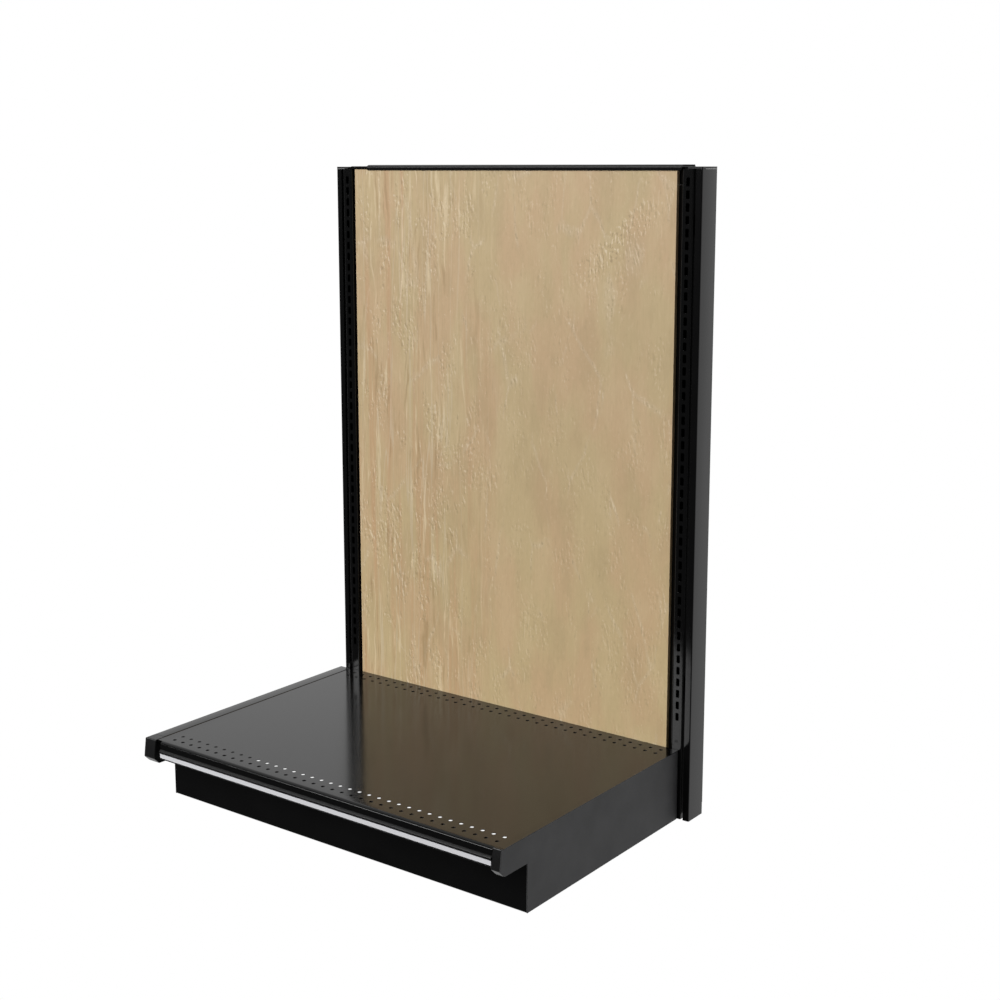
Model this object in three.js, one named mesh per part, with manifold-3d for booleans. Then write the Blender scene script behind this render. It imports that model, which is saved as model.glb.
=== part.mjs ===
// Gondola shelving unit: one wall bay, 36 inches between uprights and 54 inches high, with a
// perforated base deck, a kick plate and a plywood back panel.
// Millimetres. +X is the shopper's right, -Y the front and +Z up. Lengths are first worked out with
// x = 0 midway between the uprights, y = 0 on the kick plate's face and z = 0 on the floor. The
// group at the end moves the whole bay so that its box is centred over the origin.
import * as THREE from 'three';
import { mergeGeometries, mergeVertices } from 'three/addons/utils/BufferGeometryUtils.js';
import Module from 'manifold-3d';

const wasm = await Module();
wasm.setup();

// ---------------------------------------------------------------- driving dimensions
const INCH = 25.4;
const BAY = 36 * INCH; // between the two slot columns
const HEIGHT = 54 * INCH; // floor to the top of the uprights
const GAP = 0.3; // between parts that touch
const OVER = 1; // how far a cutter or a joined part runs past the surface it meets
const SIDES = { left: -1, right: 1 };

const TUBE = { width: 26, depth: 56, wall: 2, frontY: 547, footZ: 1.5 };
const SLOT = { width: 8, height: 17, pitch: INCH, lowestZ: 9 * INCH, count: 45 };
const TRIM = { reach: 33, depth: 60, lip: 14.5, sheet: 1.5, floorGap: 1 };
const HEEL = { height: 27, cut: 3 };
const TRIM_CLIP = { height: 40, lowZ: 260, highZ: 1240, inset: 5, sheet: 1.5 };
const CAP = { thickness: 4.4, plugDepth: 16, inset: 2, neckDepth: 2 };
const CHANNEL = { sheet: 1.5, reach: 30, frontInset: 6, bottomZ: 104, topZ: 1338 };
const PANEL = { thickness: 9.5, frontY: 549, bottomZ: 103, topZ: 1370 };
const PANEL_EDGE = { left: 22, right: 26.5 }; // from the slot columns' middles

const TOP_RAIL = {
  topZ: 1380.5, lipZ: 1368.6, webZ: 1330, frontY: 546, rearY: 602, sheet: 1.5, round: 10.5,
};
const RAIL_END = { exposedLeft: 48, exposedRight: 2, drop: 3, play: 0.6, neckLift: 3 };
const TONGUE = { length: 30, frontInset: 2, bottomInset: 10 };
const MID_RAIL = { z: 700, height: 50, depth: 25, sheet: 1.5 };
const BOTTOM_RAIL = { bottomZ: 52, topZ: 102, rearY: 602, sheet: 1.5 };

// Outline of the base's nose, as seen from the side.
const NOSE = { topY: -79, frontY: -84.5, frontZ: 113.9, chinY: -70.6, chinZ: 100.3 };
const BASE = { rearY: 545.5, floorGap: 1, plate: 2.5, rightX: 462.3, leftX: -470.4, leftBottomZ: 22 };
const DECK = { leftX: -470.9, rightX: 462.3, frontY: -73.5, rearY: 546, topZ: 155.5, sheet: 1.2 };
const HOLES = { across: 8.7, sides: 6, pitch: 25.66, perRow: 35, rows: [-53.3, -29.7, 503, 525.8] };
const NOSE_BOX = { round: 6.5, leftX: -456.5, rightX: 441, rearY: -38, bottomZ: 118.5, sheet: 1.2 };
const PRICE = {
  frontY: -84.6, topZ: 138.7, windowZ: 130.8, bottomZ: 118, wall: 1.2, ledge: 2.2, endInset: 0.5,
};
const PRICE_BEVEL = { flat: 0.6, drop: 3.6, innerDrop: 3 };
const LABEL = { thickness: 0.8, hidden: 2.4, inset: 1 };
const STIFFENER = { drop: 17, crown: 24, brim: 12, sheet: 1.5, places: [150, 330] };
const DECK_EDGE = {
  drop: 24, leg: 15, rearLeg: 44, sheet: 1.5, sideGap: 1, frontGap: 2, rearGap: 2, rearY: 515,
};
const NOSE_CAP_WIDTH = 18.2;

const KICK = { top: 98.8, sheet: 1.2, hem: 12 };
const FILLER = { leftX: -504.9, rightX: -473.4, sheet: 1.5, flange: 50, capDepth: 26 };
const FILLER_SCREW_PLACES = [[60, 116], [480, 116]];
const SCREW = { radius: 2.4, head: 4.5, headHeight: 2.4, clearance: 2.9, reach: 4 };

const FOOT = { frontY: 45, inset: 25, flangeZ: 8, sheet: 3, width: 70, depth: 50, riser: 40 };
const LEVELER = {
  pad: { front: 14, rear: 9.5 }, crown: 8.4, rimHeight: 3, padHeight: 6, stem: 4.8, topZ: 66, hole: 5.6,
};
const NUT = { across: 17, height: 8, bore: 5.2 };
const FOOT_PLUG = { bottomZ: 9, topZ: 30, play: 0.4 };
const END_PLATE = { inner: 13, sheet: 3, bottomZ: 24, topZ: 148 };
const BOLT = { radius: 4, across: 13, head: 5.3, length: 14, inset: 6, heights: [52, 122] };
const KICK_CLIP = { width: 22, depth: 30, topZ: 80, sheet: 2 };

// ---------------------------------------------------------------- materials
const paint = new THREE.MeshStandardMaterial({ color: 0x1b1b1c, roughness: 0.32, metalness: 0.1 });
const plastic = new THREE.MeshStandardMaterial({ color: 0x1d1d1f, roughness: 0.5, metalness: 0 });
const plywood = new THREE.MeshStandardMaterial({ color: 0xc0aa82, roughness: 0.6, metalness: 0 });
const labelStock = new THREE.MeshStandardMaterial({ color: 0xe6e6e8, roughness: 0.45, metalness: 0 });
const zinc = new THREE.MeshStandardMaterial({ color: 0xa9adb2, roughness: 0.35, metalness: 0.9 });

// ---------------------------------------------------------------- geometry helpers
function slab([x0, x1], [y0, y1], [z0, z1]) {
  const box = new THREE.BoxGeometry(Math.abs(x1 - x0), Math.abs(y1 - y0), Math.abs(z1 - z0));
  return box.translate((x0 + x1) / 2, (y0 + y1) / 2, (z0 + z1) / 2);
}

function shapeOf(points, holePoints) {
  const shape = new THREE.Shape(points.map(([a, b]) => new THREE.Vector2(a, b)));
  if (holePoints) {
    shape.holes.push(new THREE.Path(holePoints.map(([a, b]) => new THREE.Vector2(a, b))));
  }
  return shape;
}

function rectangle([a0, a1], [b0, b1]) {
  return [[a0, b0], [a1, b0], [a1, b1], [a0, b1]];
}

// A plan outline of [x, y] points, drawn from z0 up to z1.
function upright(points, [z0, z1], holePoints) {
  const settings = { depth: z1 - z0, bevelEnabled: false };
  return new THREE.ExtrudeGeometry(shapeOf(points, holePoints), settings).translate(0, 0, z0);
}

// A side outline of [y, z] points, drawn from x0 across to x1.
function across(points, [x0, x1], holePoints) {
  const start = Math.min(x0, x1);
  const settings = { depth: Math.abs(x1 - x0), bevelEnabled: false };
  const flat = new THREE.ExtrudeGeometry(shapeOf(points, holePoints), settings);
  const turn = new THREE.Matrix4().makeBasis(
    new THREE.Vector3(0, 1, 0),
    new THREE.Vector3(0, 0, 1),
    new THREE.Vector3(1, 0, 0),
  );
  return flat.applyMatrix4(turn).translate(start, 0, 0);
}

function post(radius, [z0, z1], x, y, sides = 16) {
  const cylinder = new THREE.CylinderGeometry(radius, radius, z1 - z0, sides);
  return cylinder.rotateX(Math.PI / 2).translate(x, y, (z0 + z1) / 2);
}

function rodAlongY(radius, [y0, y1], x, z, sides = 12) {
  return new THREE.CylinderGeometry(radius, radius, y1 - y0, sides).translate(x, (y0 + y1) / 2, z);
}

function rodAlongX(radius, [x0, x1], y, z, sides = 12) {
  const cylinder = new THREE.CylinderGeometry(radius, radius, x1 - x0, sides);
  return cylinder.rotateZ(Math.PI / 2).translate((x0 + x1) / 2, y, z);
}

// Points of a quarter circle, ends included.
function quarter(centreA, centreB, radius, startTurn, steps = 5) {
  const points = [];
  for (let i = 0; i <= steps; i += 1) {
    const angle = (startTurn + i / steps / 4) * 2 * Math.PI;
    points.push([centreA + radius * Math.cos(angle), centreB + radius * Math.sin(angle)]);
  }
  return points;
}

function toManifold(geometry) {
  const bare = geometry.index ? geometry.clone() : mergeVertices(geometry.clone());
  bare.deleteAttribute('normal');
  bare.deleteAttribute('uv');
  const merged = mergeVertices(bare, 1e-4);
  return new wasm.Manifold(new wasm.Mesh({
    numProp: 3,
    vertProperties: new Float32Array(merged.attributes.position.array),
    triVerts: new Uint32Array(merged.index.array),
  }));
}

function toGeometry(manifold) {
  const mesh = manifold.getMesh();
  const geometry = new THREE.BufferGeometry();
  geometry.setAttribute('position', new THREE.BufferAttribute(mesh.vertProperties, 3));
  geometry.setIndex(new THREE.BufferAttribute(mesh.triVerts, 1));
  geometry.computeVertexNormals();
  return geometry;
}

function cut(body, ...tools) {
  return toGeometry(tools.reduce((left, tool) => left.subtract(toManifold(tool)), toManifold(body)));
}

function join(first, ...others) {
  return toGeometry(others.reduce((whole, other) => whole.add(toManifold(other)), toManifold(first)));
}

// Many separate cutters as one, so that they are cut out together.
function cluster(cutters) {
  const bare = cutters.map((cutter) => {
    const copy = cutter.clone();
    copy.deleteAttribute('normal');
    copy.deleteAttribute('uv');
    return copy;
  });
  return mergeGeometries(bare);
}

const bay = new THREE.Group();

function add(name, geometry, material) {
  const mesh = new THREE.Mesh(geometry, material);
  mesh.name = name;
  bay.add(mesh);
}

// ---------------------------------------------------------------- uprights and what is on them
const tubeRearY = TUBE.frontY + TUBE.depth;
const tubeMidY = TUBE.frontY + TUBE.depth / 2;

// The bolts sit nearer the middle of the bay than the slots, clear of the bracket's plate.
function boltX(side) {
  return side * (BAY / 2 - BOLT.inset);
}

function slottedTube(centreX) {
  const half = TUBE.width / 2;
  const outer = rectangle([centreX - half, centreX + half], [TUBE.frontY, tubeRearY]);
  const inner = rectangle(
    [centreX - half + TUBE.wall, centreX + half - TUBE.wall],
    [TUBE.frontY + TUBE.wall, tubeRearY - TUBE.wall],
  );
  const throughFront = [TUBE.frontY - OVER, TUBE.frontY + TUBE.wall + OVER];
  const cutters = [];
  for (let i = 0; i < SLOT.count; i += 1) {
    const z = SLOT.lowestZ + i * SLOT.pitch;
    const sideways = [centreX - SLOT.width / 2, centreX + SLOT.width / 2];
    cutters.push(slab(sideways, throughFront, [z - SLOT.height / 2, z + SLOT.height / 2]));
  }
  for (const z of BOLT.heights) {
    cutters.push(rodAlongY(BOLT.radius + GAP, throughFront, boltX(Math.sign(centreX)), z));
  }
  return cut(upright(outer, [TUBE.footZ, HEIGHT], inner), cluster(cutters));
}

// Three-sided cover over the outer side of an upright, with the heel cut back at the floor.
function endTrim(side, centreX) {
  const outX = centreX + side * TRIM.reach;
  const inX = outX - side * TRIM.sheet;
  const lipX = outX - side * TRIM.lip;
  const rearY = TUBE.frontY + TRIM.depth;
  const section = [
    [outX, TUBE.frontY],
    [outX, rearY],
    [lipX, rearY],
    [lipX, rearY - TRIM.sheet],
    [inX, rearY - TRIM.sheet],
    [inX, TUBE.frontY + TRIM.sheet],
    [lipX, TUBE.frontY + TRIM.sheet],
    [lipX, TUBE.frontY],
  ];
  const heel = slab([centreX, outX + side * OVER], [rearY - HEEL.cut, rearY + OVER], [0, HEEL.height]);
  return cut(upright(section, [TRIM.floorGap, HEIGHT]), heel);
}

// Folded spacer that holds the trim off the tube's side.
function trimClip(side, centreX, z) {
  const nearX = centreX + side * (TUBE.width / 2 + GAP);
  const farX = centreX + side * (TRIM.reach - TRIM.sheet - GAP);
  const frontY = TUBE.frontY + TRIM_CLIP.inset;
  const rearY = tubeRearY - TRIM_CLIP.inset;
  const section = [
    [nearX, frontY],
    [farX, frontY],
    [farX, frontY + TRIM_CLIP.sheet],
    [nearX + side * TRIM_CLIP.sheet, frontY + TRIM_CLIP.sheet],
    [nearX + side * TRIM_CLIP.sheet, rearY - TRIM_CLIP.sheet],
    [farX, rearY - TRIM_CLIP.sheet],
    [farX, rearY],
    [nearX, rearY],
  ];
  return upright(section, [z, z + TRIM_CLIP.height]);
}

// Lid over the trim and half of the tube, with a plug that closes the tube a little lower.
function topCap(side, centreX) {
  const half = TUBE.width / 2;
  const lidX = [centreX - side * CAP.inset, centreX + side * TRIM.reach];
  const lidY = [TUBE.frontY, TUBE.frontY + TRIM.depth];
  const lid = slab(lidX, lidY, [HEIGHT + GAP, HEIGHT + GAP + CAP.thickness]);
  const plugHalf = half - TUBE.wall - GAP;
  const insideY = [TUBE.frontY + TUBE.wall + GAP, tubeRearY - TUBE.wall - GAP];
  const plugX = [centreX - plugHalf, centreX + plugHalf];
  const plug = slab(plugX, insideY, [HEIGHT - CAP.plugDepth, HEIGHT - CAP.neckDepth / 2]);
  const neckX = [centreX - side * CAP.inset, centreX + side * plugHalf];
  const neck = slab(neckX, insideY, [HEIGHT - CAP.neckDepth, HEIGHT + GAP + OVER]);
  return join(lid, neck, plug);
}

// Threaded block in the foot of the tube, for the rear leveler.
function footPlug(centreX) {
  const half = TUBE.width / 2 - TUBE.wall - FOOT_PLUG.play;
  const inset = TUBE.wall + FOOT_PLUG.play;
  const block = slab(
    [centreX - half, centreX + half],
    [TUBE.frontY + inset, tubeRearY - inset],
    [FOOT_PLUG.bottomZ, FOOT_PLUG.topZ],
  );
  const drill = [FOOT_PLUG.bottomZ - OVER, FOOT_PLUG.topZ + OVER];
  return cut(block, post(LEVELER.hole, drill, centreX, tubeMidY));
}

// Angle on the inner side of the tube, which the back panel's edge lies against.
function panelChannel(side, centreX) {
  const rootX = centreX - side * (TUBE.width / 2 + GAP);
  const frontY = TUBE.frontY + CHANNEL.frontInset;
  const legY = PANEL.frontY + PANEL.thickness + GAP;
  const section = [
    [rootX, frontY],
    [rootX - side * CHANNEL.sheet, frontY],
    [rootX - side * CHANNEL.sheet, legY],
    [rootX - side * CHANNEL.reach, legY],
    [rootX - side * CHANNEL.reach, legY + CHANNEL.sheet],
    [rootX, legY + CHANNEL.sheet],
  ];
  return upright(section, [CHANNEL.bottomZ, CHANNEL.topZ]);
}

for (const [name, side] of Object.entries(SIDES)) {
  const centreX = side * BAY / 2;
  add(`upright_${name}`, slottedTube(centreX), paint);
  add(`end_trim_${name}`, endTrim(side, centreX), paint);
  add(`trim_clip_low_${name}`, trimClip(side, centreX, TRIM_CLIP.lowZ), paint);
  add(`trim_clip_high_${name}`, trimClip(side, centreX, TRIM_CLIP.highZ), paint);
  add(`top_cap_${name}`, topCap(side, centreX), plastic);
  add(`foot_plug_${name}`, footPlug(centreX), zinc);
  add(`panel_channel_${name}`, panelChannel(side, centreX), paint);
}

// ---------------------------------------------------------------- rails and back panel
const betweenTubes = BAY / 2 - TUBE.width / 2 - GAP;
const railX = [-betweenTubes + RAIL_END.exposedLeft, betweenTubes - RAIL_END.exposedRight];

// Rolled channel: a rounded front edge with a short lip, a flat top and a deep rear web.
function topRail() {
  const { topZ, lipZ, webZ, frontY, rearY, sheet, round } = TOP_RAIL;
  const outside = quarter(frontY + round, topZ - round, round, 0.25);
  const inside = quarter(frontY + round, topZ - round, round - sheet, 0.25).reverse();
  const section = [
    [rearY, webZ],
    [rearY, topZ],
    ...outside,
    [frontY, lipZ],
    [frontY + sheet, lipZ],
    ...inside,
    [rearY - sheet, topZ - sheet],
    [rearY - sheet, webZ],
  ];
  return across(section, railX);
}

// Hooked tongue that carries one end of the top rail on its tube.
function railEnd(side) {
  const tubeX = side * betweenTubes;
  const railEndX = side < 0 ? railX[0] : railX[1];
  const top = TOP_RAIL.topZ - RAIL_END.drop;
  const bottom = TOP_RAIL.webZ + TONGUE.bottomInset;
  const frontY = PANEL.frontY + PANEL.thickness + TONGUE.frontInset;
  const rearY = TOP_RAIL.rearY - TOP_RAIL.sheet - RAIL_END.play;
  const neck = slab([tubeX, railEndX], [TOP_RAIL.frontY, rearY], [top, PANEL.topZ + RAIL_END.neckLift]);
  const tongue = slab([tubeX, railEndX - side * TONGUE.length], [frontY, rearY], [bottom, top]);
  return join(neck, tongue);
}

// Channel behind the back panel, half way up.
function midRail() {
  const frontY = PANEL.frontY + PANEL.thickness + GAP;
  const rearY = frontY + MID_RAIL.depth;
  const topZ = MID_RAIL.z + MID_RAIL.height;
  const section = [
    [rearY, MID_RAIL.z],
    [rearY, MID_RAIL.z + MID_RAIL.sheet],
    [frontY + MID_RAIL.sheet, MID_RAIL.z + MID_RAIL.sheet],
    [frontY + MID_RAIL.sheet, topZ - MID_RAIL.sheet],
    [rearY, topZ - MID_RAIL.sheet],
    [rearY, topZ],
    [frontY, topZ],
    [frontY, MID_RAIL.z],
  ];
  const reach = betweenTubes - CHANNEL.reach - GAP;
  return across(section, [-reach, reach]);
}

// Channel that the back panel stands on.
function bottomRail() {
  const { bottomZ, topZ, rearY, sheet } = BOTTOM_RAIL;
  const frontY = PANEL.frontY;
  const section = [
    [frontY, bottomZ],
    [frontY, topZ],
    [rearY, topZ],
    [rearY, bottomZ],
    [rearY - sheet, bottomZ],
    [rearY - sheet, topZ - sheet],
    [frontY + sheet, topZ - sheet],
    [frontY + sheet, bottomZ],
  ];
  return across(section, [-betweenTubes, betweenTubes]);
}

function backPanel() {
  const sideways = [-BAY / 2 + PANEL_EDGE.left, BAY / 2 - PANEL_EDGE.right];
  const depth = [PANEL.frontY, PANEL.frontY + PANEL.thickness];
  return slab(sideways, depth, [PANEL.bottomZ, PANEL.topZ]);
}

add('top_rail', topRail(), paint);
add('rail_end_left', railEnd(SIDES.left), paint);
add('rail_end_right', railEnd(SIDES.right), paint);
add('mid_rail', midRail(), paint);
add('bottom_rail', bottomRail(), paint);
add('back_panel', backPanel(), plywood);

// ---------------------------------------------------------------- base frame
// Side outline of the base with its nose; underDeck lowers the part that the deck sheet lies on.
function baseOutline(underDeck) {
  const seatZ = DECK.topZ - (underDeck ? DECK.sheet + GAP : 0);
  const seatY = underDeck ? DECK.frontY - GAP : NOSE.topY + 1;
  return [
    [NOSE.topY, DECK.topZ],
    [NOSE.frontY, NOSE.frontZ],
    [NOSE.chinY, NOSE.chinZ],
    [0, NOSE.chinZ],
    [0, BASE.floorGap],
    [BASE.rearY, BASE.floorGap],
    [BASE.rearY, seatZ],
    [seatY, seatZ],
    [seatY, DECK.topZ],
  ];
}

function screwHoles(fromX, toX) {
  return FILLER_SCREW_PLACES.map(([y, z]) => rodAlongX(SCREW.clearance, [fromX, toX], y, z));
}

function rightBracket() {
  return across(baseOutline(true), [BASE.rightX - BASE.plate, BASE.rightX]);
}

// The left bracket is cut off above the floor, because the end filler hides it.
function leftBracket() {
  const seatZ = DECK.topZ - DECK.sheet - GAP;
  const frontY = KICK.hem + GAP;
  const outline = [
    [frontY, BASE.leftBottomZ],
    [BASE.rearY, BASE.leftBottomZ],
    [BASE.rearY, seatZ],
    [NOSE_BOX.rearY + GAP, seatZ],
    [NOSE_BOX.rearY + GAP, NOSE.chinZ + GAP],
    [frontY, NOSE.chinZ + GAP],
  ];
  const plate = across(outline, [BASE.leftX, BASE.leftX + BASE.plate]);
  return cut(plate, ...screwHoles(BASE.leftX - OVER, BASE.leftX + BASE.plate + OVER));
}

const innerFaceX = { left: BASE.leftX + BASE.plate, right: BASE.rightX - BASE.plate };

// Welded plate at the rear of a bracket, bolted to the front of the upright.
function endPlate(name, side) {
  const nearX = innerFaceX[name] - side * GAP;
  const farX = side * (BAY / 2 - END_PLATE.inner);
  const rearY = TUBE.frontY - GAP;
  const depth = [rearY - END_PLATE.sheet, rearY];
  const plate = slab([nearX, farX], depth, [END_PLATE.bottomZ, END_PLATE.topZ]);
  const through = [depth[0] - OVER, depth[1] + OVER];
  const holes = BOLT.heights.map((z) => rodAlongY(BOLT.radius + GAP, through, boltX(side), z));
  return cut(plate, cluster(holes));
}

function bracketBolt(side, z) {
  const headY = TUBE.frontY - GAP - END_PLATE.sheet - GAP;
  const x = boltX(side);
  const head = rodAlongY(BOLT.across / Math.sqrt(3), [headY - BOLT.head, headY], x, z, 6);
  return join(head, rodAlongY(BOLT.radius, [headY - OVER, headY + BOLT.length], x, z));
}

function frontFootX(name, side) {
  return innerFaceX[name] - side * FOOT.inset;
}

// Angle on the inner face of a bracket, with the hole for the front leveler.
function bracketFoot(name, side) {
  const wallX = innerFaceX[name] - side * GAP;
  const section = [
    [wallX, FOOT.flangeZ],
    [wallX, FOOT.flangeZ + FOOT.riser],
    [wallX - side * FOOT.sheet, FOOT.flangeZ + FOOT.riser],
    [wallX - side * FOOT.sheet, FOOT.flangeZ + FOOT.sheet],
    [wallX - side * FOOT.width, FOOT.flangeZ + FOOT.sheet],
    [wallX - side * FOOT.width, FOOT.flangeZ],
  ];
  const settings = { depth: FOOT.depth, bevelEnabled: false };
  const angle = new THREE.ExtrudeGeometry(shapeOf(section), settings).rotateX(Math.PI / 2);
  angle.translate(0, FOOT.frontY + FOOT.depth / 2, 0);
  const drill = [FOOT.flangeZ - OVER, FOOT.flangeZ + FOOT.sheet + OVER];
  return cut(angle, post(LEVELER.hole, drill, frontFootX(name, side), FOOT.frontY));
}

// Upright tab that the kick plate hooks over, standing on the bracket's foot.
function kickClip(name, side) {
  const footEndX = innerFaceX[name] - side * (FOOT.width + GAP);
  const sideways = [footEndX, footEndX + side * KICK_CLIP.width];
  const frontY = KICK.hem + GAP;
  const bottomZ = FOOT.flangeZ + FOOT.sheet + GAP;
  const section = [
    [frontY, bottomZ],
    [frontY + KICK_CLIP.depth, bottomZ],
    [frontY + KICK_CLIP.depth, bottomZ + KICK_CLIP.sheet],
    [frontY + KICK_CLIP.sheet, bottomZ + KICK_CLIP.sheet],
    [frontY + KICK_CLIP.sheet, KICK_CLIP.topZ],
    [frontY, KICK_CLIP.topZ],
  ];
  return across(section, sideways);
}

// Flat panel with its top and bottom edges folded back.
function kickPlate() {
  const { top, sheet, hem } = KICK;
  const bottom = BASE.floorGap;
  const section = [
    [0, bottom],
    [hem, bottom],
    [hem, bottom + sheet],
    [sheet, bottom + sheet],
    [sheet, top - sheet],
    [hem, top - sheet],
    [hem, top],
    [0, top],
  ];
  return across(section, [FILLER.leftX + FILLER.sheet + GAP, BASE.rightX - BASE.plate - GAP]);
}

// Folded cover beyond the left end of the deck: outer side, top strip and inner flange.
function endFiller() {
  const outer = across(baseOutline(false), [FILLER.leftX, FILLER.leftX + FILLER.sheet]);
  const length = [NOSE.topY + FILLER.capDepth, BASE.rearY];
  const strip = slab([FILLER.leftX, FILLER.rightX], length, [DECK.topZ - FILLER.sheet, DECK.topZ]);
  const flangeX = [FILLER.rightX - FILLER.sheet, FILLER.rightX];
  const flange = slab(flangeX, length, [DECK.topZ - FILLER.flange, DECK.topZ]);
  const holes = screwHoles(flangeX[0] - OVER, flangeX[1] + OVER);
  return cut(join(outer, strip, flange), ...holes);
}

function fillerScrew(y, z) {
  const headX = FILLER.rightX - FILLER.sheet - GAP;
  const head = rodAlongX(SCREW.head, [headX - SCREW.headHeight, headX], y, z);
  const tipX = BASE.leftX + BASE.plate + SCREW.reach;
  return join(head, rodAlongX(SCREW.radius, [headX - OVER, tipX], y, z));
}

// Moulded block that closes the nose between two x positions.
function noseCap(sideways, underDeck) {
  const rearY = underDeck ? NOSE_BOX.rearY : NOSE.topY + FILLER.capDepth - GAP;
  const seatZ = DECK.topZ - DECK.sheet - GAP;
  const top = [
    [rearY, DECK.topZ],
    [NOSE.topY, DECK.topZ],
  ];
  const seat = [
    [rearY, seatZ],
    [DECK.frontY - GAP, seatZ],
    [DECK.frontY - GAP, DECK.topZ],
    [NOSE.topY, DECK.topZ],
  ];
  const section = [
    ...(underDeck ? seat : top),
    [NOSE.frontY, NOSE.frontZ],
    [NOSE.chinY, NOSE.chinZ],
    [rearY, NOSE.chinZ],
  ];
  return across(section, sideways);
}

add('base_bracket_right', rightBracket(), paint);
add('base_bracket_left', leftBracket(), paint);
for (const [name, side] of Object.entries(SIDES)) {
  add(`bracket_end_plate_${name}`, endPlate(name, side), paint);
  BOLT.heights.forEach((z, i) => add(`bracket_bolt_${name}_${i + 1}`, bracketBolt(side, z), zinc));
  add(`bracket_foot_${name}`, bracketFoot(name, side), paint);
  add(`kick_clip_${name}`, kickClip(name, side), zinc);
}
add('kick_plate', kickPlate(), paint);
add('base_end_filler', endFiller(), paint);
add('filler_nose_cap', noseCap([FILLER.leftX + FILLER.sheet + GAP, FILLER.rightX], false), plastic);
FILLER_SCREW_PLACES.forEach(([y, z], i) => add(`filler_screw_${i + 1}`, fillerScrew(y, z), zinc));
const rightCapX = BASE.rightX - BASE.plate - GAP;
add('nose_cap_right', noseCap([rightCapX - NOSE_CAP_WIDTH, rightCapX], true), plastic);

// ---------------------------------------------------------------- levelers
function nut(x, y, z) {
  const body = post(NUT.across / Math.sqrt(3), [z, z + NUT.height], x, y, 6);
  return cut(body, post(NUT.bore, [z - OVER, z + NUT.height + OVER], x, y));
}

function leveler(x, y, pad) {
  const { crown, rimHeight, padHeight, stem, topZ } = LEVELER;
  const profile = [
    [0, 0],
    [pad, 0],
    [pad, rimHeight],
    [crown, padHeight],
    [stem, padHeight],
    [stem, topZ],
    [0, topZ],
  ];
  const turned = new THREE.LatheGeometry(profile.map(([r, h]) => new THREE.Vector2(r, h)), 20);
  return toGeometry(toManifold(turned.rotateX(Math.PI / 2).translate(x, y, 0)));
}

for (const [name, side] of Object.entries(SIDES)) {
  const frontX = frontFootX(name, side);
  const rearX = side * BAY / 2;
  add(`leveler_nut_front_${name}`, nut(frontX, FOOT.frontY, FOOT.flangeZ + FOOT.sheet + GAP), zinc);
  add(`leveler_nut_rear_${name}`, nut(rearX, tubeMidY, FOOT_PLUG.topZ + GAP), zinc);
  add(`leveler_front_${name}`, leveler(frontX, FOOT.frontY, LEVELER.pad.front), zinc);
  add(`leveler_rear_${name}`, leveler(rearX, tubeMidY, LEVELER.pad.rear), zinc);
}

// ---------------------------------------------------------------- lift-off deck
const deckMidX = (DECK.leftX + DECK.rightX) / 2;
const underDeckZ = DECK.topZ - DECK.sheet - GAP;

function deckPanel() {
  const height = [DECK.topZ - DECK.sheet, DECK.topZ];
  const sheet = slab([DECK.leftX, DECK.rightX], [DECK.frontY, DECK.rearY], height);
  const firstX = deckMidX - (HOLES.perRow - 1) / 2 * HOLES.pitch;
  const through = [height[0] - OVER, height[1] + OVER];
  const cutters = [];
  for (const y of HOLES.rows) {
    for (let i = 0; i < HOLES.perRow; i += 1) {
      cutters.push(post(HOLES.across / 2, through, firstX + i * HOLES.pitch, y, HOLES.sides));
    }
  }
  return cut(sheet, cluster(cutters));
}

// Rolled front edge of the deck, folded back under it into a box.
function deckNose() {
  const { round, rearY, bottomZ, sheet } = NOSE_BOX;
  const rollY = DECK.frontY - GAP;
  const centreZ = DECK.topZ - round;
  const top = underDeckZ;
  const innerRound = round - (DECK.topZ - top) - sheet;
  const outer = [
    [rearY, top],
    [rollY, top],
    [rollY, DECK.topZ],
    ...quarter(rollY, centreZ, round, 0.25).slice(1),
    [rollY - round, bottomZ],
    [rearY, bottomZ],
  ];
  const inner = [
    [rearY - sheet, top - sheet],
    ...quarter(rollY, centreZ, innerRound, 0.25),
    [rollY - innerRound, bottomZ + sheet],
    [rearY - sheet, bottomZ + sheet],
  ];
  return across(outer, [NOSE_BOX.leftX, NOSE_BOX.rightX], inner);
}

// Extruded holder on the front of the nose: a lip over the label's top edge and a ledge under it.
const priceBackY = DECK.frontY - GAP - NOSE_BOX.round - GAP;

function priceChannel() {
  const { frontY, topZ, windowZ, bottomZ, wall, ledge, endInset } = PRICE;
  const floorY = priceBackY - wall;
  const lipY = frontY + wall;
  const shoulderZ = topZ - PRICE_BEVEL.drop;
  const section = [
    [priceBackY, bottomZ],
    [priceBackY, topZ],
    [priceBackY - PRICE_BEVEL.flat, topZ],
    [frontY, shoulderZ],
    [frontY, windowZ],
    [lipY, windowZ],
    [lipY, shoulderZ - wall],
    [floorY, topZ - PRICE_BEVEL.innerDrop],
    [floorY, bottomZ + ledge],
    [lipY, bottomZ + ledge],
    [lipY, bottomZ],
  ];
  return across(section, [NOSE_BOX.leftX + endInset, NOSE_BOX.rightX - GAP]);
}

function labelInsert() {
  const frontY = PRICE.frontY + PRICE.wall + GAP;
  const sideways = [NOSE_BOX.leftX + LABEL.inset, NOSE_BOX.rightX - LABEL.inset];
  const height = [PRICE.bottomZ + PRICE.ledge + GAP, PRICE.windowZ + LABEL.hidden];
  return slab(sideways, [frontY, frontY + LABEL.thickness], height);
}

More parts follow.
